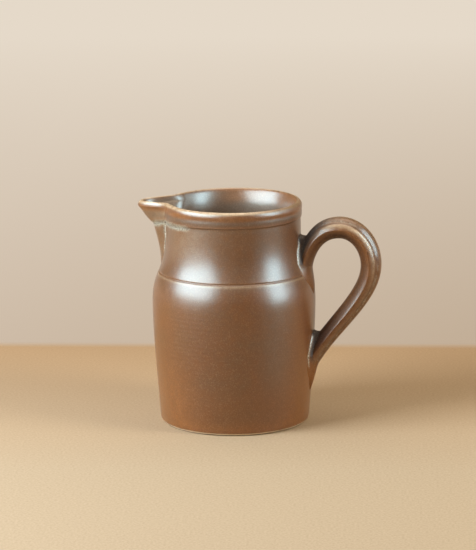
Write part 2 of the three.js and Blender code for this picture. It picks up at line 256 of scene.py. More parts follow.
def side_profile():
    """Outer side from the table to the neck, as rows of (radius, height)."""
    belly_lead = (BELLY_Z - FOOT_ROUND) * BELLY_EASE
    shoulder_lead = SHOULDER_RISE * SHOULDER_EASE
    neck_lead = NECK_RISE * NECK_EASE
    turn = np.linspace(-math.pi / 2, 0, FOOT_STEPS + 1)
    foot = np.column_stack((
        FOOT_RADIUS - FOOT_ROUND + FOOT_ROUND * np.cos(turn),
        FOOT_ROUND + FOOT_ROUND * np.sin(turn)))
    belly = bezier([
        (FOOT_RADIUS, FOOT_ROUND),
        (FOOT_RADIUS + belly_lead * FOOT_LEAN, FOOT_ROUND + belly_lead),
        (BELLY_RADIUS, BELLY_Z - belly_lead),
        (BELLY_RADIUS, BELLY_Z)], BELLY_STEPS)
    shoulder = bezier([
        (BELLY_RADIUS, BELLY_Z),
        (BELLY_RADIUS, BELLY_Z + shoulder_lead),
        (SHOULDER_RADIUS + neck_lead * SHOULDER_LEAN, GROOVE_Z - neck_lead),
        (SHOULDER_RADIUS, GROOVE_Z)], SHOULDER_STEPS)
    neck = bezier([
        (SHOULDER_RADIUS, GROOVE_Z),
        (SHOULDER_RADIUS - neck_lead * SHOULDER_LEAN, GROOVE_Z + neck_lead),
        (NECK_RADIUS, NECK_Z - 2 * neck_lead),
        (NECK_RADIUS, NECK_Z)], NECK_STEPS)
    return np.vstack((foot, belly[1:], shoulder[1:], neck[1:]))


SIDE = side_profile()


def plain_wall(z):
    return np.interp(z, SIDE[:, 1], SIDE[:, 0])


def wall_radius(z):
    """Outer radius with the tooled groove and the rolls of the rim band."""
    step = BAND_STEP * smoothstep(z, BAND_Z - STEP_BELOW, BAND_Z + STEP_ABOVE)
    lip_roll = LIP_ROLL * bump(z, LIP_Z, LIP_ROLL_WIDTH)
    band_roll = BAND_ROLL * bump(z, BAND_ROLL_Z, BAND_ROLL_WIDTH)
    groove = GROOVE_DEPTH * bump(z, GROOVE_Z, GROOVE_WIDTH / 2)
    return plain_wall(z) + step + lip_roll + band_roll - groove


def soft_positive(value, softness):
    """The value where it is above nothing, and nearly nothing below, with a rounded corner between."""
    return (value + np.sqrt(value * value + softness * softness)) / 2


def bore_radius(z):
    """Inner radius: the wall thickens into the neck, and the rim is bevelled inside."""
    thickness = lerp(WALL, NECK_WALL, smoothstep(z, GROOVE_Z, NECK_Z))
    climb = soft_positive((z - BAND_Z) / (LIP_Z - BAND_Z), BEVEL_SOFTNESS)
    climb /= soft_positive(1, BEVEL_SOFTNESS)
    bevel = (RIM_RADIUS - LIP_THICKNESS - NECK_RADIUS + NECK_WALL) * climb**BEVEL_SWEEP
    return plain_wall(z) - thickness + bevel


def spout_half_width(z):
    climb = np.clip((z - SPOUT_Z) / (LIP_Z - SPOUT_Z), 0, 1)
    throat = lerp(SPOUT_FOOT_WIDTH, THROAT_WIDTH, np.sqrt(climb))
    return lerp(throat, SPOUT_TOP_WIDTH, climb**TOP_SWEEP) / 2


def keel_reach(z):
    low = np.clip((z - SPOUT_Z) / (BAND_Z - SPOUT_Z), 0, 1)
    high = np.clip((z - BAND_Z) / (LIP_Z - BAND_Z), 0, 1)
    return THROAT_REACH * low**THROAT_SWEEP + (SPOUT_REACH - THROAT_REACH) * high**LIP_FLARE


def keel_droop(z):
    low = np.clip((z - SPOUT_Z) / (BAND_Z - SPOUT_Z), 0, 1)
    high = np.clip((z - BAND_Z) / (LIP_Z - BAND_Z), 0, 1)
    return BAND_DROOP * low + (LIP_DROOP - BAND_DROOP) * high


def band_sag(beyond, z):
    """How far the rim band's edge sags at a distance beyond the beak's crease, round the wall."""
    near = bump(np.maximum(beyond, 0), 0, SAG_RUN)
    return BAND_SAG * near * bump(z, BAND_Z, SAG_HEIGHT)


def swell(across, z, softness):
    """Share of the keel's reach across the beak, with a softened crease at each side."""
    fade = fade_out(np.abs(across), 1, CREASE_END)
    creased = soft_positive(1 - across * across, softness)
    end = math.exp(-LIP_POINT)
    swept = soft_positive((np.exp(-LIP_POINT * across * across) - end) / (1 - end), LIP_SOFTNESS)
    return lerp(creased, swept, smoothstep(z, NECK_Z, LIP_Z)) * fade


def levels_of_pot():
    """Rows of the pot's skin, from the middle of its underside over the lip to the middle of its floor.

    Gives radius, height, height on the wall and inset of each row, and the first and last row of the stretch
    that the beak is let into.
    """
    seam_foot = SPOUT_Z - SEAM_OUT
    underside = np.linspace(0, FOOT_RADIUS - FOOT_ROUND, UNDERSIDE_ROWS + 1)[1:]
    turn = np.linspace(-math.pi / 2, 0, FOOT_ROWS + 1)[1:]
    low = np.concatenate((
        np.linspace(FOOT_ROUND, GROOVE_Z - FINE_BELOW, BELLY_ROWS + 1)[1:],
        np.linspace(GROOVE_Z - FINE_BELOW, seam_foot, GROOVE_ROWS + 1)[1:-1]))
    up = np.concatenate((
        np.linspace(seam_foot, SPOUT_Z, SEAM_FOOT_ROWS + 1)[:-1],
        np.linspace(SPOUT_Z, BAND_Z - FINE_BELOW, NECK_ROWS + 1)[:-1],
        np.linspace(BAND_Z - FINE_BELOW, LIP_Z, BAND_ROWS + 1)))
    over = np.linspace(0, math.pi, LIP_ROWS + 1)[1:-1]
    in_turn = np.linspace(0, -math.pi / 2, INNER_TURN_ROWS + 1)[1:]
    turn_z = FLOOR + INNER_ROUND
    in_low = np.linspace(seam_foot, turn_z, BORE_ROWS + 1)[1:]
    in_floor = np.linspace(1, 0, FLOOR_ROWS + 1)[1:-1]
    corner = plain_wall(turn_z) - WALL - INNER_ROUND
    lip_inset = (1 - np.cos(over)) / 2
    lip_fall = np.where(over > math.pi / 2, 2, 1)  # round outside, and inside a curve into the bevel
    wall_z = np.concatenate((
        np.zeros(len(underside)), FOOT_ROUND + FOOT_ROUND * np.sin(turn), low, up,
        np.full(len(over), LIP_Z), up[::-1], in_low,
        turn_z + INNER_ROUND * np.sin(in_turn), np.full(len(in_floor), FLOOR)))
    height = wall_z.copy()
    first = len(underside) + len(turn) + len(low)
    lip = first + len(up)
    last = lip + len(over) + len(up) - 1
    height[lip:lip + len(over)] = LIP_Z + LIP_ROUND * np.sin(over) ** lip_fall
    inset = np.zeros(len(wall_z))
    inset[lip:lip + len(over)] = lip_inset
    inset[lip + len(over):] = 1
    radius = lerp(wall_radius(wall_z), bore_radius(wall_z), inset)
    radius[:len(underside)] = underside
    turn_end = len(underside) + len(turn)
    radius[len(underside):turn_end] = FOOT_RADIUS - FOOT_ROUND + FOOT_ROUND * np.cos(turn)
    floor_start = len(wall_z) - len(in_floor)
    radius[floor_start - len(in_turn):floor_start] = corner + INNER_ROUND * np.cos(in_turn)
    radius[floor_start:] = corner * in_floor
    return radius, height, wall_z, inset, first, last


def columns_of_pot(half_angle_in, half_angle_out):
    """Angles from the keel for one row: across the beak, along its seam, and round the pot."""
    spout = np.linspace(-half_angle_in, half_angle_in, SPOUT_COLUMNS + 1)
    left = np.linspace(half_angle_in, half_angle_out, SEAM_COLUMNS + 1)[1:]
    rest = np.linspace(half_angle_out, 2 * math.pi - half_angle_out, POT_COLUMNS + 1)[1:]
    right = np.linspace(2 * math.pi - half_angle_out, 2 * math.pi - half_angle_in, SEAM_COLUMNS + 1)[1:-1]
    return np.concatenate((spout, left, rest, right))


def thrown_wobble(angle, z):
    """Slight unevenness left by the potter's hands, nothing at the foot."""
    slow = OVAL * np.sin(2 * angle + OVAL_TURN) + LOBES * np.sin(3 * angle + z * LOBE_TWIST)
    ridges = RIDGE_HEIGHT * np.sin(z * RIDGE_PITCH + angle)
    on_belly = smoothstep(z, 6, 20) * fade_out(z, 78, 100)
    return slow * smoothstep(z, 2, 30) + ridges * on_belly


class Skin:
    """The jug's whole skin as one grid, from which body, seam and beak take their faces.

    At each of its points, height is measured before the beak droops, wall_z is the height on the wall, and
    inset goes from 0 outside to 1 inside. beyond is how far past the beak's crease it lies, across its place
    across the beak in half widths, and angle its turn from the keel.
    """

    def __init__(self):
        radius, height, wall_z, inset, first, last = levels_of_pot()
        self.first, self.last = first, last
        self.rows = len(radius)
        half = spout_half_width(wall_z)
        upper = np.maximum(wall_z, SPOUT_Z)
        round_z = wall_radius(upper)
        angles = np.array([
            columns_of_pot((h - SEAM_IN) / r, (h + SEAM_OUT) / r)
            for h, r in zip(spout_half_width(upper), round_z)])
        self.columns = angles.shape[1]
        turned = np.where(angles > math.pi, angles - 2 * math.pi, angles)
        z = wall_z[:, None]
        arc = turned * round_z[:, None]
        across = arc / half[:, None]
        beyond = np.abs(arc) - half[:, None]
        is_upper = np.zeros(self.rows, dtype=bool)
        is_upper[first:last + 1] = True
        softness = lerp(CREASE_SOFTNESS, INNER_CREASE_SOFTNESS, inset[:, None])
        out = np.where(is_upper[:, None], swell(across, z, softness), 0)
        sag = np.where(is_upper[:, None], band_sag(beyond, z), 0)
        drop = (keel_droop(z) - BAND_SAG * bump(z, BAND_Z, SAG_HEIGHT)) * out + sag
        outer = 1 - inset[:, None]
        is_skin = np.where(wall_z > 0, 1.0, 0.0)[:, None] * outer
        reach = radius[:, None] + keel_reach(z) * out + thrown_wobble(turned, z) * is_skin
        self.points = np.stack((
            -reach * np.cos(turned), reach * np.sin(turned), height[:, None] - drop), axis=-1)
        self.height = height[:, None] + 0 * turned
        self.wall_z = z + 0 * turned
        self.inset = inset[:, None] + 0 * turned
        self.beyond, self.across, self.angle = beyond, across, turned

    def index(self, row, column):
        return row * self.columns + column % self.columns

    def opposite(self, row):
        return self.first + self.last - row

    def quads(self, wanted):
        """Faces of the skin whose row and column the test wants."""
        faces = []
        for row in range(self.rows - 1):
            for column in range(self.columns):
                if wanted(row, column):
                    faces.append((
                        self.index(row, column), self.index(row, column + 1),
                        self.index(row + 1, column + 1), self.index(row + 1, column)))
        return faces

    def side_wall(self, column, start_row):
        """Faces through the wall along one column, from a row up to the lip."""
        faces = []
        row = start_row
        while row < self.opposite(row):
            corners = [
                self.index(row, column), self.index(row + 1, column),
                self.index(self.opposite(row + 1), column), self.index(self.opposite(row), column)]
            faces.append(tuple(dict.fromkeys(corners)))
            row += 1
        return [face for face in faces if len(face) > 2]

    def foot_wall(self, row, columns):
        """Faces through the wall along one row."""
        other = self.opposite(row)
        return [(
            self.index(row, column), self.index(row, column + 1),
            self.index(other, column + 1), self.index(other, column)) for column in columns]


skin = Skin()
SEAM_LEFT = SPOUT_COLUMNS + SEAM_COLUMNS
SEAM_RIGHT = SEAM_LEFT + POT_COLUMNS
FOOT_ROW = skin.first + SEAM_FOOT_ROWS
FOOT_ROW_INSIDE = skin.last - SEAM_FOOT_ROWS


def in_pot(row, column):
    return not skin.first <= row < skin.last or SEAM_LEFT <= column < SEAM_RIGHT


def in_spout(row, column):
    return FOOT_ROW <= row < FOOT_ROW_INSIDE and column < SPOUT_COLUMNS


def in_seam(row, column):
    return not in_pot(row, column) and not in_spout(row, column)


# Shares of the skin that several looks of its glaze use
ROUND = np.abs(skin.angle)  # angle from the beak to either side
OUTSIDE = np.clip(1 - skin.inset * 3, 0, 1) * (skin.height > 0)
ON_BEAK = (skin.beyond < 0) * smoothstep(skin.wall_z, BAND_Z - 1, BAND_Z + 1)
NEAR_BEAK = fade_out(skin.beyond, 26, 46)
BELOW_VALLEY = fade_out(skin.wall_z, VALLEY_Z - 1, VALLEY_Z + 1.5)
ON_BEVEL = smoothstep(skin.wall_z, LIP_Z - 9, LIP_Z - 3) * smoothstep(ROUND, 0.9, 1.5)


def pool_on_pot():
    """Thick pale glaze under the rim band near the beak, and along the beak's creases."""
    z = skin.wall_z
    under_band = bump(z, BAND_Z - 0.9, 2.7) * NEAR_BEAK * (1 - 0.4 * ON_BEAK)
    width = lerp(0.8, 1.7, smoothstep(z, SPOUT_Z + 12, BAND_Z))
    crease = bump(skin.beyond, 0.4, width) * smoothstep(z, SPOUT_Z + 2, SPOUT_Z + 16) * (z < BAND_Z + 0.5)
    return np.clip(under_band + crease, 0, 1) * OUTSIDE


def thin_on_pot():
    """Thin rust-coloured glaze on the lip, band, groove, keel and foot, and on the pot's front and back; on
    the front, the beak's side, it is partly painted light, the warmth of light falling on that side.
    """
    z = skin.wall_z
    lip = smoothstep(z, VALLEY_Z - 2, VALLEY_Z + 0.5) * np.clip(1 - skin.inset * 7, 0, 1)
    lip = lip * lerp(LIP_RUST, BEAK_LIP_RUST, ON_BEAK)
    band = BAND_RUST * bump(z, BAND_Z + 1.5, 0.8)
    groove = GROOVE_RUST * bump(z, GROOVE_Z + 0.6, 1)
    keel = KEEL_RUST * bump(skin.across, 0, 0.14) * (z > SPOUT_Z + 8)
    foot = FOOT_RUST * bump(z, 4, 5) + LOW_WALL_RUST * fade_out(z, 5, 60)
    frontward = np.cos(skin.angle)
    # On the beak's side the rust is partly painted light
    front = LIT_FRONT_RUST * smoothstep(frontward, 0.1, 0.75)
    back = -BACK_RUST * np.minimum(frontward, 0) ** 3
    flank_rust_and_light = (front + back) * (1 - BELLY_RUST_LOSS * smoothstep(z, 30, 70)) * fade_out(z, 96, 112)
    thin = np.clip(np.maximum(lip, band + groove + keel + foot + flank_rust_and_light), 0, 1) * OUTSIDE
    return np.maximum(thin, BEVEL_RUST * smoothstep(skin.inset, 0.55, 0.8) * ON_BEVEL)


def crest_and_sheen_on_pot():
    """Glaze broken to cream on the lip, partly a painted highlight there, and fainter on the shoulder's edge;
    beside the beak and on it the cream is a painted sheen.
    """
    z = skin.wall_z
    # The lip's cream is partly a painted highlight
    lip = smoothstep((skin.height - LIP_Z) / LIP_ROUND, 0.35, 0.75) * fade_out(skin.inset, 0.5, 0.75)
    lip = lip * lerp(1, HANDLE_LIP_CREAM, smoothstep(ROUND, 1.7, 2.6))
    groove = GROOVE_CREAM * bump(z, GROOVE_Z - 1.4, 0.6)
    on_neck = smoothstep(z, GROOVE_Z + 4, NECK_Z - 8) * fade_out(z, BAND_Z - 3, BAND_Z)
    # A painted sheen on the neck beside the beak and on the beak
    neck = NECK_SHEEN * bump(ROUND, 0.95, 0.45) * on_neck
    beak = lerp(BEAK_SHEEN, BEAK_BAND_SHEEN, ON_BEAK) * (skin.beyond < 0) * (z > SPOUT_Z + 4) * BELOW_VALLEY
    return np.maximum(lip, np.maximum(np.maximum(groove, neck), beak) * OUTSIDE)


def veil_and_reflection_on_pot():
    """Grey veil on the band's lower roll, under the band, on beak and neck, and in a run at each side that is
    a painted reflection of soft side light.
    """
    z = skin.wall_z
    band = ROLL_VEIL * bump(z, BAND_Z + 4, 2)
    band = band + UNDER_BAND_VEIL * bump(z, BAND_Z - 2.2, 1.8) * (1 - NEAR_BEAK)
    # The runs are a painted reflection
    side_reflections = SIDE_REFLECTION * bump(ROUND, 2.3, 0.2) * smoothstep(z, 20, 50) * fade_out(z, 96, 106)
    neck = NECK_VEIL * smoothstep(z, 80, 112)
    veil_and_reflection = np.maximum(np.maximum(band, ON_BEAK * BELOW_VALLEY) + side_reflections, neck)
    return np.clip(veil_and_reflection, 0, 1) * OUTSIDE


def painted_shade_on_pot():
    """Painted shadow lines in the groove and at the band's edge, and a faint painted shade on the band away
    from the beak.
    """
    z = skin.wall_z
    groove = lerp(GROOVE_DARK_FRONT, GROOVE_DARK_BACK, smoothstep(ROUND, 0.8, 1.7))
    groove = groove * bump(z, GROOVE_Z - 0.2, 0.35)
    line_away = BAND_DARK * bump(z, BAND_Z + 0.4, 0.6)
    line_near = BEAK_BAND_DARK * bump(z, BAND_Z - 0.8, 0.45)
    line = lerp(line_away, line_near, NEAR_BEAK)
    shade = BAND_SHADE * smoothstep(z, BAND_Z, BAND_Z + 2) * (1 - NEAR_BEAK)
    return (groove + np.maximum(line, shade)) * OUTSIDE


def bare_on_pot():
    """Bare clay in a narrow line just above the table."""
    return smoothstep(skin.height, 0.3, 0.6) * fade_out(skin.height, 1.4, 1.7) * (skin.inset < 0.5)


def inside_of_pot():
    """The greyer inside, browner on the bevel at the lip."""
    return smoothstep(skin.inset, 0.6, 1) * (1 - BEVEL_GREY_LOSS * ON_BEVEL)


GLAZE = {
    "pool_and_highlight": pool_on_pot(), "thin": thin_on_pot(), "crest_and_sheen": crest_and_sheen_on_pot(), "veil_and_reflection": veil_and_reflection_on_pot(),
    "painted_shade": painted_shade_on_pot(), "bare": bare_on_pot(), "inside": inside_of_pot()}


def add_mesh(name, points, faces, values, material):
    """Closed mesh from millimetre points, keeping only those that its faces use."""
    used = sorted({corner for face in faces for corner in face})
    place = {old: new for new, old in enumerate(used)}
    mesh = bpy.data.meshes.new(name)
    mesh.from_pydata(
        (points[used] * MM).tolist(), [], [tuple(place[corner] for corner in face) for face in faces])
    for key, value in values.items():
        layer = mesh.attributes.new(key, "FLOAT", "POINT")
        layer.data.foreach_set("value", value[used].astype(np.float32))
    edit = bmesh.new()
    edit.from_mesh(mesh)
    bmesh.ops.recalc_face_normals(edit, faces=edit.faces)
    edit.to_mesh(mesh)
    edit.free()
    mesh.shade_smooth()
    mesh.set_sharp_from_angle(angle=SHARP_EDGE)
    mesh.materials.append(material)
    piece = bpy.data.objects.new(name, mesh)
    bpy.context.scene.collection.objects.link(piece)
    return piece


def dress(piece, node):
    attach(piece, "root")
    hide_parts(node)


def srgb(red, green, blue):
    """Linear colour with full opacity from the 0 to 255 values of a screen colour."""
    def linear(value):
        share = value / 255
        return share / 12.92 if share <= 0.04045 else ((share + 0.055) / 1.055) ** 2.4
    return (linear(red), linear(green), linear(blue), 1)


# Colours of the glaze's looks, each mixed over the glaze's own brown and grey
# The veil's grey also paints a reflection, the cream also a highlight and sheen, and the darkest brown is
# painted shade
VEIL_AND_REFLECTION_GREY = srgb(104, 83, 66)
THIN_RUST = srgb(141, 88, 39)
CREAM_AND_SHEEN = srgb(198, 174, 142)
POOL_GREY = srgb(124, 118, 104)
PAINTED_SHADE_BROWN = srgb(52, 36, 26)
INSIDE_GREY = srgb(108, 98, 86)
DARK_SPECK = srgb(78, 48, 26)
PALE_SPECK = srgb(176, 146, 112)
BARE_CLAY = srgb(235, 214, 184)

# Size of the glaze's noises, in periods for each metre
CLOUD_SCALE = 38
MOTTLE_SCALE = 260
SPECKLE_SCALE = 1200
GRAIN_SCALE = 800

NOISE_LOW = 0.3  # between these a noise does most of its rise
NOISE_HIGH = 0.7
RELIEF_HEIGHT = 0.0006
GLAZE_IOR = 1.4
COAT_IOR = 1.5


class Nodes:
    """Shorthand for making and joining shader nodes."""

    def __init__(self, material):
        material.use_nodes = True
        self.tree = material.node_tree
        self.tree.nodes.clear()

    def add(self, kind, **settings):
        node = self.tree.nodes.new(kind)
        for key, value in settings.items():
            setattr(node, key, value)
        return node

    def join(self, source, target):
        self.tree.links.new(source, target)

    def put(self, socket, value):
        if isinstance(value, bpy.types.NodeSocket):
            self.join(value, socket)
        else:
            socket.default_value = value

    def noise(self, place, scale, detail, rough=0.5, distortion=0):
        node = self.add("ShaderNodeTexNoise")
        self.join(place, node.inputs["Vector"])
        node.inputs["Scale"].default_value = scale
        node.inputs["Detail"].default_value = detail
        node.inputs["Roughness"].default_value = rough
        node.inputs["Distortion"].default_value = distortion
        return node.outputs["Fac"]

    def ramp(self, value, low, high, start=0, end=1):
        node = self.add("ShaderNodeMapRange")
        self.put(node.inputs["Value"], value)
        node.inputs["From Min"].default_value = low
        node.inputs["From Max"].default_value = high
        node.inputs["To Min"].default_value = start
        node.inputs["To Max"].default_value = end
        return node.outputs["Result"]

    def math(self, kind, first, second):
        node = self.add("ShaderNodeMath", operation=kind)
        self.put(node.inputs[0], first)
        self.put(node.inputs[1], second)
        return node.outputs["Value"]

    def mix(self, share, first, second):
        node = self.add("ShaderNodeMix", data_type="RGBA")
        self.put(node.inputs["Factor"], share)
        self.put(node.inputs["A"], first)
        self.put(node.inputs["B"], second)
        return node.outputs["Result"]

    def dot(self, first, second):
        node = self.add("ShaderNodeVectorMath", operation="DOT_PRODUCT")
        self.put(node.inputs[0], first)
        self.put(node.inputs[1], second)
        return node.outputs["Value"]

    def attribute(self, name):
        return self.add("ShaderNodeAttribute", attribute_name=name).outputs["Fac"]


def glaze_material(name, brown, grey, pale, relief_strength, coat_weight, coat_roughness):
    """Satin stoneware glaze: mottled brown, rust where thin, cream on crests, grey where it pools, with the
    painted light and shade that its attributes carry: highlight, sheen, reflection and shade.
    """
    material = bpy.data.materials.new(name)
    nodes = Nodes(material)
    place = nodes.add("ShaderNodeTexCoord").outputs["Object"]
    cloud = nodes.noise(place, CLOUD_SCALE, detail=4, rough=0.55, distortion=0.6)
    mottle = nodes.noise(place, MOTTLE_SCALE, detail=3, rough=0.6)
    speckle = nodes.noise(place, SPECKLE_SCALE, detail=1)
    grain = nodes.noise(place, GRAIN_SCALE, detail=1)
    thickness = nodes.math("ADD", nodes.ramp(cloud, NOISE_LOW, NOISE_HIGH, 0, 0.6),
                           nodes.ramp(mottle, NOISE_LOW, NOISE_HIGH, 0, 0.4))
    colour = nodes.mix(thickness, brown, grey)
    patchy = nodes.ramp(mottle, NOISE_LOW, NOISE_HIGH, 0.5, 1)
    # The veil also paints a reflection, the thin rust also the light on the beak's side, and the cream also a
    # highlight and sheen
    for look, look_colour in (("veil_and_reflection", VEIL_AND_REFLECTION_GREY), ("thin", THIN_RUST), ("crest_and_sheen", CREAM_AND_SHEEN)):
        share = nodes.math("MULTIPLY", nodes.attribute(look), patchy)
        colour = nodes.mix(share, colour, look_colour)
    ragged = nodes.ramp(mottle, NOISE_LOW, NOISE_HIGH, -0.12, 0.12)
    # The pale pool also paints the highlight line of the coves and a reflection in the strap's groove
    run = nodes.ramp(nodes.math("ADD", nodes.attribute("pool_and_highlight"), ragged), 0.2, 0.8, 0, 0.9)
    pool_and_highlight_colour = nodes.mix(nodes.ramp(speckle, 0.42, 0.6), pale, POOL_GREY)
    colour = nodes.mix(run, colour, pool_and_highlight_colour)
    # Painted shade: shadow lines, and shade in the notch and under the strap
    colour = nodes.mix(nodes.attribute("painted_shade"), colour, PAINTED_SHADE_BROWN)
    colour = nodes.mix(nodes.ramp(nodes.attribute("inside"), 0, 1, 0, 0.65), colour, INSIDE_GREY)
    dark_specks = nodes.ramp(speckle, 0.54, 0.7, 0, 0.3)
    colour = nodes.mix(dark_specks, colour, DARK_SPECK)
    pale_specks = nodes.ramp(speckle, 0.44, 0.3, 0, 0.16)
    colour = nodes.mix(pale_specks, colour, PALE_SPECK)
    bare = nodes.attribute("bare")
    colour = nodes.mix(bare, colour, BARE_CLAY)
    satin = nodes.ramp(mottle, NOISE_LOW, NOISE_HIGH, 0.34, 0.42)
    dull = nodes.math("MAXIMUM", bare, nodes.attribute("painted_shade"))
    rough = nodes.math("ADD", satin, nodes.ramp(dull, 0, 1, 0, 0.4))
    relief = nodes.add("ShaderNodeBump")
    relief.inputs["Strength"].default_value = relief_strength
    relief.inputs["Distance"].default_value = RELIEF_HEIGHT
    nodes.join(grain, relief.inputs["Height"])
    shader = nodes.add("ShaderNodeBsdfPrincipled")
    shader.inputs["IOR"].default_value = GLAZE_IOR
    shader.inputs["Coat Weight"].default_value = coat_weight
    shader.inputs["Coat Roughness"].default_value = coat_roughness
    shader.inputs["Coat IOR"].default_value = COAT_IOR
    nodes.join(colour, shader.inputs["Base Color"])
    nodes.join(rough, shader.inputs["Roughness"])
    nodes.join(relief.outputs["Normal"], shader.inputs["Normal"])
    nodes.join(relief.outputs["Normal"], shader.inputs["Coat Normal"])
    nodes.join(shader.outputs["BSDF"], nodes.add("ShaderNodeOutputMaterial").inputs["Surface"])
    return material


PALE_RUN = srgb(172, 173, 158)
body_glaze = glaze_material(
    "body_glaze", brown=srgb(112, 66, 27), grey=srgb(97, 66, 38), pale=PALE_RUN,
    relief_strength=0.08, coat_weight=0.75, coat_roughness=0.28)
spout_glaze = glaze_material(
    "spout_glaze", brown=srgb(118, 74, 36), grey=srgb(110, 82, 54), pale=PALE_RUN,
    relief_strength=0.08, coat_weight=0.75, coat_roughness=0.28)
handle_glaze = glaze_material(
    "handle_glaze", brown=srgb(106, 63, 28), grey=srgb(99, 68, 40), pale=srgb(200, 198, 184),
    relief_strength=0.02, coat_weight=0.28, coat_roughness=0.15)
# For the seam and the coves; its pale colour also paints the coves' highlight line
pooled_glaze = glaze_material(
    "pooled_glaze", brown=srgb(110, 69, 34), grey=srgb(108, 77, 48), pale=srgb(208, 206, 194),
    relief_strength=0.03, coat_weight=0.12, coat_roughness=0.3)

POLE_BELOW = skin.points.reshape(-1, 3).shape[0]
POLE_INSIDE = POLE_BELOW + 1


def make_pot():
    points = np.vstack((skin.points.reshape(-1, 3), [(0, 0, 0), (0, 0, FLOOR)]))
    values = {
        key: np.append(value.ravel(), (key == "bare", key == "inside")) for key, value in GLAZE.items()}
    faces = skin.quads(in_pot)
    around = range(skin.columns)
    faces += [(POLE_BELOW, skin.index(0, column + 1), skin.index(0, column)) for column in around]
    last = skin.rows - 1
    faces += [(POLE_INSIDE, skin.index(last, column), skin.index(last, column + 1)) for column in around]
    faces += skin.side_wall(SEAM_LEFT, skin.first) + skin.side_wall(SEAM_RIGHT, skin.first)
    faces += skin.foot_wall(skin.first, range(SEAM_RIGHT - skin.columns, SEAM_LEFT))
    pot = add_mesh("glazed_pot", points, faces, values, body_glaze)
    dress(pot, "body")


def make_beak():
    points = skin.points.reshape(-1, 3)
    values = {key: value.ravel() for key, value in GLAZE.items()}
    beak_faces = skin.quads(in_spout)
    shared = skin.side_wall(0, FOOT_ROW) + skin.side_wall(SPOUT_COLUMNS, FOOT_ROW)
    shared += skin.foot_wall(FOOT_ROW, range(SPOUT_COLUMNS))
    beak = add_mesh("glazed_beak", points, beak_faces + shared, values, spout_glaze)
    dress(beak, "spout")
    seam_faces = skin.quads(in_seam) + shared
    seam_faces += skin.side_wall(SEAM_LEFT, skin.first) + skin.side_wall(SEAM_RIGHT, skin.first)
    seam_faces += skin.foot_wall(skin.first, range(SEAM_RIGHT - skin.columns, SEAM_LEFT))
    seam = add_mesh("beak_seam", points, seam_faces, values, pooled_glaze)
    dress(seam, "spout_slip_seam")


def strap_line():
    """Centre line of the strap as (distance from the pot's axis, height), and where its arch comes."""
    arch = np.array((NECK_RADIUS + ARCH_REACH, RIM_Z - ARCH_DROP))
    grip = np.array((BELLY_RADIUS + GRIP_REACH, RIM_Z - GRIP_DROP))
    root_z = RIM_Z - ROOT_DROP
    root = np.array((plain_wall(root_z) - ROOT_THICKNESS / 2 - STRAP_SINK, root_z))
    tail = np.array((plain_wall(TAIL_HEIGHT) - TAIL_THICKNESS / 2 - STRAP_SINK, TAIL_HEIGHT))
    climb = bezier([
        root, (NECK_RADIUS, arch[1] - ROOT_CLIMB), (arch[0] - ARCH_LEAD, arch[1]), arch], CURVE_STEPS)
    turn = bezier([
        arch, (lerp(arch[0], grip[0], QUARTER_TURN), arch[1]),
        (grip[0], lerp(grip[1], arch[1], QUARTER_TURN)), grip], CURVE_STEPS)
    fall = bezier([
        grip, (grip[0], grip[1] - GRIP_FALL),
        (BELLY_RADIUS + TAIL_STAND, TAIL_HEIGHT + TAIL_LIFT), tail], CURVE_STEPS)
    line = np.vstack((climb, turn[1:], fall[1:]))
    run = np.concatenate(([0], np.cumsum(np.hypot(*np.diff(line, axis=0).T))))
    place = run / run[-1]
    even = np.linspace(0, 1, STRAP_SAMPLES)
    smooth = np.column_stack((np.interp(even, place, line[:, 0]), np.interp(even, place, line[:, 1])))
    return even, smooth, place[CURVE_STEPS]


def strap_samples():
    """Points of the strap by place along it and turn round its section.

    Also the section's own two coordinates at each turn, and the place of the arch.
    """
    place, line, arch_place = strap_line()
    along = np.gradient(line, axis=0)
    along /= np.hypot(along[:, 0], along[:, 1])[:, None]
    width = lerp(ROOT_WIDTH, TAIL_WIDTH, place)
    swelling = smoothstep(place, SWELL_START * arch_place, arch_place)
    thickness = lerp(ROOT_THICKNESS, ARCH_THICKNESS, swelling)
    thickness = lerp(thickness, TAIL_THICKNESS, smoothstep(place, arch_place, 1))
    turn = np.linspace(0, 2 * math.pi, STRAP_SIDES, endpoint=False)
    across = np.sign(np.cos(turn)) * np.abs(np.cos(turn)) ** (2 / STRAP_CROWN)
    off = np.sign(np.sin(turn)) * np.abs(np.sin(turn)) ** (2 / STRAP_EDGE)
    groove = np.where(off > 0, bump(np.abs(across), RIB_SPACING, RIB_WIDTH), 0)
    x = across[None, :] * width[:, None] / 2
    y = off[None, :] * thickness[:, None] / 2 - RIB_DEPTH * groove[None, :]
    points = np.stack((
        line[:, None, 0] - along[:, None, 1] * y, x, line[:, None, 1] + along[:, None, 0] * y), axis=-1)
    return place, points, across, off, arch_place


def above_wall(points):
    return np.hypot(points[..., 0], points[..., 1]) - plain_wall(points[..., 2])


def cove_rise(off, notch_side):
    """Height of a cove round the section; notch_side is 1 where the strap's outer face makes the notch."""
    notch = smoothstep(off * notch_side, 0.1, 1)
    taper = smoothstep(-off * notch_side, 0.1, 1)
    return EDGE_RISE + (NOTCH_RISE - EDGE_RISE) * notch + (TAPER_RISE - EDGE_RISE) * taper


def leaving_places(place, points, rise):
    """Place where each line along the strap, followed from the first, has risen off the wall."""
    height = above_wall(points)
    leaving = []
    for side in range(STRAP_SIDES):
        column = height[:, side]
        first = int(np.argmax(column > rise[side]))
        share = (rise[side] - column[first - 1]) / (column[first] - column[first - 1])
        leaving.append(lerp(place[first - 1], place[first], share))
    return np.array(leaving)


def points_at(place, points, wanted):
    """One ring of the strap with each of its lines at its own place."""
    return np.array([
        [np.interp(wanted[side], place, points[:, side, axis]) for axis in range(3)]
        for side in range(STRAP_SIDES)])


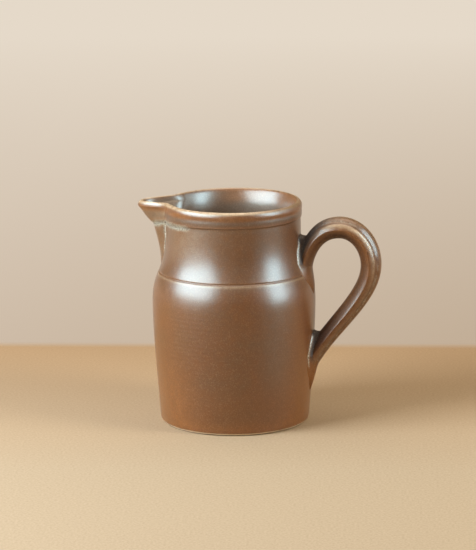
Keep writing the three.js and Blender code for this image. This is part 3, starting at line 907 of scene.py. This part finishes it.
def ring_faces(rings, sides):
    faces = []
    for ring in range(rings - 1):
        for side in range(sides):
            after = (side + 1) % sides
            faces.append((
                ring * sides + side, ring * sides + after,
                (ring + 1) * sides + after, (ring + 1) * sides + side))
    return faces


def capped(rings):
    """Points and faces of a closed skin through rings, with a fan to the middle of each end ring."""
    sides = len(rings[0])
    points = np.vstack((*rings, rings[0].mean(axis=0), rings[-1].mean(axis=0)))
    count = len(rings) * sides
    faces = ring_faces(len(rings), sides)
    for side in range(sides):
        after = (side + 1) % sides
        faces.append((count, after, side))
        faces.append((count + 1, count - sides + side, count - sides + after))
    return points, faces


def on_wall(arc, z, height):
    """Points at a height off the pot's wall; arc is measured round the neck."""
    angle = arc / NECK_RADIUS
    reach = plain_wall(z) + height
    return np.stack((reach * np.cos(angle), reach * np.sin(angle), z), axis=-1)


def cove_rings(edge, beyond, rise, toward_notch):
    """Rings of a slip cove from the wall up to an end of the strap, tangent to both.

    edge is the strap's end ring, beyond a ring a little further along the strap, rise the cove's height, and
    toward_notch goes from -1, where the strap runs out into the wall, to 1 in the notch.
    """
    arc = np.arctan2(edge[:, 1], edge[:, 0]) * NECK_RADIUS
    half_width = np.abs(arc).max()
    z = edge[:, 2]
    in_notch = smoothstep(toward_notch, -0.5, 0.3)
    run = lerp(TAPER_RUN, NOTCH_RUN, in_notch) * toward_notch
    fullness = lerp(TAPER_FULLNESS * (1 - (arc / half_width) ** 2), -NOTCH_SINK, in_notch)
    spread = arc * lerp(-TAPER_PINCH, EDGE_RUN / half_width, smoothstep(toward_notch, -1, -0.3))
    foot = on_wall(arc + spread, z + run, -COVE_SINK)
    lead = on_wall(arc + spread * COVE_LEAD, z + run * COVE_LEAD, fullness)
    down = edge - beyond
    down /= np.linalg.norm(down, axis=1)[:, None]
    follow = np.hypot(rise, run) * lerp(TAPER_HOLD, NOTCH_HOLD, in_notch)
    hold = edge + down * follow[:, None]
    share = np.linspace(0, 1, COVE_RINGS + 1)
    return [
        (1 - t) ** 3 * foot + 3 * (1 - t) ** 2 * t * lead + 3 * (1 - t) * t**2 * hold + t**3 * edge
        for t in share]


def ring_values(looks, count):
    """Every look of the glaze at each point of a capped skin of rings, nothing where a look isn't given."""
    rings = np.zeros((count, STRAP_SIDES))
    return {look: np.append((rings + looks.get(look, 0)).ravel(), (0, 0)) for look in GLAZE}


def glaze_of_strap(across, off, arch_place):
    """Looks of the glaze along the strap, with painted light and shade: across and off are the section's own
    coordinates.
    """
    along = np.linspace(0, 1, STRAP_RINGS + 1)[:, None]
    # The near roll's cream grows at the arch's top and on the crown: partly glaze broken to cream, partly a
    # painted highlight for light from above
    at_arch = bump(along, arch_place, 0.13)
    from_middle = np.abs(across)
    outer_face = smoothstep(off, 0, 0.25)
    roll = outer_face * bump(from_middle, 0.82, 0.1)
    # Pooled glaze in the groove, partly a painted reflection on its far wall
    groove = outer_face * bump(from_middle, RIB_SPACING - 0.07, RIB_WIDTH * 0.8)
    # A dark line along the groove's other edge: painted shadow
    groove_line = outer_face * bump(from_middle, RIB_SPACING + 0.07, 0.05)
    crown = outer_face * bump(across, 0, 0.42)
    edge = bump(off, 0, 0.3)
    # Painted shade: in the notch at the root, under the tail and under the arch's inner face
    in_notch = fade_out(along, 0.05, 0.2) * outer_face * fade_out(from_middle, 0.78, 0.95)
    under_tail = smoothstep(along, 0.9, 1) * smoothstep(-off, 0.1, 0.6)
    under_arch = smoothstep(-off, 0, 0.6) * (0.2 + 0.4 * at_arch)
    notch_and_tail_shade = np.maximum(0.9 * in_notch, 0.75 * under_tail)
    return {
        "pool_and_highlight": 0.3 * groove,
        "thin": 0.4 * edge + 0.2 * crown,
        "crest_and_sheen": roll * (0.2 + 0.85 * at_arch) + 0.16 * crown,
        "veil_and_reflection": 0.6 * crown,
        "painted_shade": np.maximum(notch_and_tail_shade, under_arch + 0.25 * groove_line)}


def make_cove(name, node, rings, toward_notch, pale_from, thin_at_foot):
    """Slip cove: a pale line along its sides, pooled glaze and partly a painted highlight, and painted shade
    where it climbs the strap on the notch's side.

    pale_from is how far toward the notch the pale line begins, and thin_at_foot how thin the wall's glaze is.
    """
    points, faces = capped(rings)
    climb = np.linspace(0, 1, len(rings))[:, None]
    deep = smoothstep(toward_notch, 0.75, 1)
    # The pale line is pooled glaze and partly a painted highlight
    pool_and_highlight = bump(climb, 0.3, 0.1) * smoothstep(toward_notch, pale_from, pale_from + 0.5) * (1 - deep)
    # Painted shade where the cove climbs into the notch
    shade_from = lerp(0.36, -0.35, deep)
    painted_shade = 0.95 * smoothstep(climb - shade_from, 0, 0.2) * smoothstep(toward_notch, -0.5, 0.2)
    thin = thin_at_foot * fade_out(climb, 0.3, 1)
    values = ring_values({"pool_and_highlight": pool_and_highlight, "thin": thin, "painted_shade": painted_shade}, len(rings))
    cove = add_mesh(name, points, faces, values, pooled_glaze)
    dress(cove, node)


def make_handle():
    place, points, across, off, arch_place = strap_samples()
    root_rise = cove_rise(off, 1)
    tail_rise = cove_rise(off, -1)
    starts = leaving_places(place, points, root_rise)
    ends = leaving_places(place[::-1], points[::-1], tail_rise)
    rings = [
        points_at(place, points, lerp(starts, ends, share)) for share in np.linspace(0, 1, STRAP_RINGS + 1)]
    strap_points, strap_faces = capped(rings)
    values = ring_values(glaze_of_strap(across, off, arch_place), len(rings))
    handle = add_mesh("ribbed_handle", strap_points, strap_faces, values, handle_glaze)
    dress(handle, "handle")
    root_next = points_at(place, points, starts + STRAP_STEP)
    tail_next = points_at(place, points, ends - STRAP_STEP)
    root_cove = cove_rings(rings[0], root_next, root_rise, off)
    tail_cove = cove_rings(rings[-1], tail_next, tail_rise, -off)
    make_cove(
        "handle_upper_cove", "handle_upper_slip", root_cove, off, pale_from=-0.5, thin_at_foot=0.4)
    make_cove(
        "handle_lower_cove", "handle_lower_slip", tail_cove, -off, pale_from=-0.6, thin_at_foot=0.75)


make_pot()
make_beak()
make_handle()

# Stage: view of the photograph, about the jug's axis
VIEW_TURN = math.radians(11)
VIEW_ACROSS = Vector((math.cos(VIEW_TURN), math.sin(VIEW_TURN), 0))
VIEW_AWAY = Vector((-math.sin(VIEW_TURN), math.cos(VIEW_TURN), 0))
UP = Vector((0, 0, 1))
CAMERA_ACROSS = 0.003
CAMERA_AWAY = -2.098
CAMERA_HEIGHT = 0.5767
CAMERA_PITCH = math.radians(12.69)
CAMERA_ROLL = math.radians(-0.53)
CAMERA_LENS = 197.8
SENSOR_WIDTH = 36
CAMERA_FAR = 50
TABLE_EDGE = 0.212  # from the jug's axis to the table's far edge
TABLE_EDGE_TURN = math.radians(3)
TABLE_EDGE_BLUR = 0.008
TABLE_REACH = 8
TABLE_FADE = 0.35  # depth over which the table turns to its far tone
TABLE_ROUGHNESS = 0.85
TABLE_GAP = 0.0001  # between table and foot
NEAR_TABLE = (srgb(176, 160, 136), srgb(190, 174, 150))
# The far table tone is darker, a painted shade for light falling off toward the wall
FAR_TABLE = (srgb(174, 146, 113), srgb(184, 156, 123))
FIBRE_SCALE = 600
# The wall beyond the table's edge is painted and glows for the camera and in gloss; its tones, lighter to the
# left and the top and darker to the right, are painted light
WALL_LEFT = srgb(207, 189, 169)
WALL_RIGHT = srgb(190, 169, 145)
WALL_TOP = srgb(229, 217, 201)
WALL_SIDES = (-0.25, 0.3)  # where it has its left and its right tone
WALL_FADE = 1.7  # depth over which the wall turns to its top tone
ROOM_COLOUR = srgb(248, 214, 168)
ROOM_FRONT = 0.05  # light from the room on the camera's side
ROOM_BEHIND = 0.35  # and from behind the jug
ROOM_ABOVE = 0.1  # added overhead
LAMP_TARGET = UP * 0.09
DAYLIGHT = (0.95, 0.98, 1.0)
COOL_GLOSS = (0.62, 0.89, 1.0)
WARM_GLOSS = (1.0, 0.9, 0.72)
WARM_FILL = (1.0, 0.9, 0.74)
WARM_WHITE = (1.0, 0.95, 0.88)


def make_camera():
    data = bpy.data.cameras.new("camera")
    data.lens = CAMERA_LENS
    data.sensor_width = SENSOR_WIDTH
    data.clip_end = CAMERA_FAR
    camera = bpy.data.objects.new("camera", data)
    bpy.context.scene.collection.objects.link(camera)
    forward = VIEW_AWAY * math.cos(CAMERA_PITCH) - UP * math.sin(CAMERA_PITCH)
    level_up = VIEW_AWAY * math.sin(CAMERA_PITCH) + UP * math.cos(CAMERA_PITCH)
    right = VIEW_ACROSS * math.cos(CAMERA_ROLL) + level_up * math.sin(CAMERA_ROLL)
    up = level_up * math.cos(CAMERA_ROLL) - VIEW_ACROSS * math.sin(CAMERA_ROLL)
    place = VIEW_ACROSS * CAMERA_ACROSS + VIEW_AWAY * CAMERA_AWAY + UP * CAMERA_HEIGHT
    turned = Matrix((right, up, -forward)).transposed().to_4x4()
    camera.matrix_world = Matrix.Translation(place) @ turned
    bpy.context.scene.camera = camera


def add_softbox(name, azimuth, elevation, distance, size, power, colour, lights=True, shows=True):
    """Softbox that faces the jug; azimuth is measured from the camera's side, to the right.

    One that doesn't light is a pale card in the glaze's gloss, and one that doesn't show isn't seen there.
    """
    data = bpy.data.lights.new(name, "AREA")
    data.shape = "RECTANGLE"
    data.size, data.size_y = size
    data.energy = power
    data.color = colour
    softbox = bpy.data.objects.new(name, data)
    bpy.context.scene.collection.objects.link(softbox)
    softbox.visible_diffuse = lights
    softbox.visible_glossy = shows
    turn, rise = math.radians(azimuth), math.radians(elevation)
    level = VIEW_ACROSS * math.sin(turn) - VIEW_AWAY * math.cos(turn)
    way = level * math.cos(rise) + UP * math.sin(rise)
    softbox.location = LAMP_TARGET + way * distance
    softbox.rotation_euler = way.to_track_quat("Z", "Y").to_euler()


def make_floor():
    """Table top, darker toward its far edge as painted shade, and beyond that edge a painted wall that glows
    for the camera and in gloss, its tones painted light.
    """
    material = bpy.data.materials.new("pale_table")
    nodes = Nodes(material)
    place = nodes.add("ShaderNodeTexCoord").outputs["Object"]
    split = nodes.add("ShaderNodeSeparateXYZ")
    nodes.join(place, split.inputs["Vector"])
    fibre = nodes.noise(place, FIBRE_SCALE, detail=2, rough=0.6)
    tone = nodes.ramp(fibre, NOISE_LOW, NOISE_HIGH)
    # Darker toward the far edge: painted shade
    far = nodes.ramp(split.outputs["Y"], -TABLE_FADE, 0)
    table = nodes.mix(far, nodes.mix(tone, *NEAR_TABLE), nodes.mix(tone, *FAR_TABLE))
    table_shader = nodes.add("ShaderNodeBsdfPrincipled")
    table_shader.inputs["Roughness"].default_value = TABLE_ROUGHNESS
    table_shader.inputs["Specular IOR Level"].default_value = 0
    nodes.join(table, table_shader.inputs["Base Color"])
    # The wall's tones are painted light
    side = nodes.ramp(split.outputs["X"], *WALL_SIDES)
    low_wall = nodes.mix(side, WALL_LEFT, WALL_RIGHT)
    rise = nodes.ramp(split.outputs["Y"], 0, WALL_FADE)
    wall = nodes.mix(rise, low_wall, WALL_TOP)
    # The wall glows where the camera or a gloss ray sees it
    glow = nodes.add("ShaderNodeEmission")
    nodes.join(wall, glow.inputs["Color"])
    seen = nodes.add("ShaderNodeLightPath")
    shown = nodes.math("MAXIMUM", seen.outputs["Is Camera Ray"], seen.outputs["Is Glossy Ray"])
    shown = nodes.math("MAXIMUM", shown, seen.outputs["Is Transmission Ray"])
    beyond = nodes.ramp(split.outputs["Y"], -TABLE_EDGE_BLUR, TABLE_EDGE_BLUR)
    join = nodes.add("ShaderNodeMixShader")
    nodes.join(nodes.math("MULTIPLY", shown, beyond), join.inputs["Fac"])
    nodes.join(table_shader.outputs["BSDF"], join.inputs[1])
    nodes.join(glow.outputs["Emission"], join.inputs[2])
    nodes.join(join.outputs["Shader"], nodes.add("ShaderNodeOutputMaterial").inputs["Surface"])
    mesh = bpy.data.meshes.new("table")
    edit = bmesh.new()
    bmesh.ops.create_grid(edit, x_segments=8, y_segments=8, size=TABLE_REACH)
    edit.to_mesh(mesh)
    edit.free()
    mesh.materials.append(material)
    table_top = bpy.data.objects.new("table", mesh)
    bpy.context.scene.collection.objects.link(table_top)
    table_top.rotation_euler = (0, 0, VIEW_TURN - TABLE_EDGE_TURN)
    table_top.location = VIEW_AWAY * TABLE_EDGE - UP * TABLE_GAP


def make_world():
    """Room light: a lit wall behind the jug and a ceiling above, dim on the camera's side."""
    world = bpy.data.worlds.new("soft_room")
    nodes = Nodes(world)
    way = nodes.add("ShaderNodeTexCoord").outputs["Generated"]
    behind = nodes.dot(way, VIEW_AWAY)
    above = nodes.dot(way, UP)
    lit = nodes.math("ADD", nodes.ramp(behind, -0.2, 0.6, ROOM_FRONT, ROOM_BEHIND),
                     nodes.ramp(above, 0.1, 0.9, 0, ROOM_ABOVE))
    room = nodes.add("ShaderNodeBackground")
    room.inputs["Color"].default_value = ROOM_COLOUR
    nodes.join(lit, room.inputs["Strength"])
    nodes.join(room.outputs["Background"], nodes.add("ShaderNodeOutputWorld").inputs["Surface"])
    bpy.context.scene.world = world


make_camera()
make_floor()
make_world()

# Lamps: azimuth and elevation in degrees, distance and size in metres, and power in watts
add_softbox("left_softbox", -64, 29, 1.1, (0.62, 0.56), 17.6, DAYLIGHT, shows=False)
add_softbox("left_card", -64, 30, 1.05, (1.2, 0.74), 42, COOL_GLOSS, lights=False)
add_softbox("left_screen", -64, 12, 1.15, (0.8, 0.5), 5, COOL_GLOSS, lights=False)
add_softbox("right_softbox", 66, 26, 1.1, (0.4, 0.72), 7.5, WARM_FILL, shows=False)
add_softbox("right_card", 66, 24, 1.05, (0.46, 0.8), 16.5, COOL_GLOSS, lights=False)
add_softbox("right_screen", 80, 28, 1.2, (1.3, 1.1), 9, COOL_GLOSS, lights=False)
add_softbox("overhead_softbox", 180, 80, 1.2, (1.1, 1.1), 5.5, WARM_WHITE)
add_softbox("overhead_card", 180, 85, 1.2, (1.3, 1.1), 12, WARM_GLOSS, lights=False)
bpy.context.scene.view_settings.view_transform = "Standard"
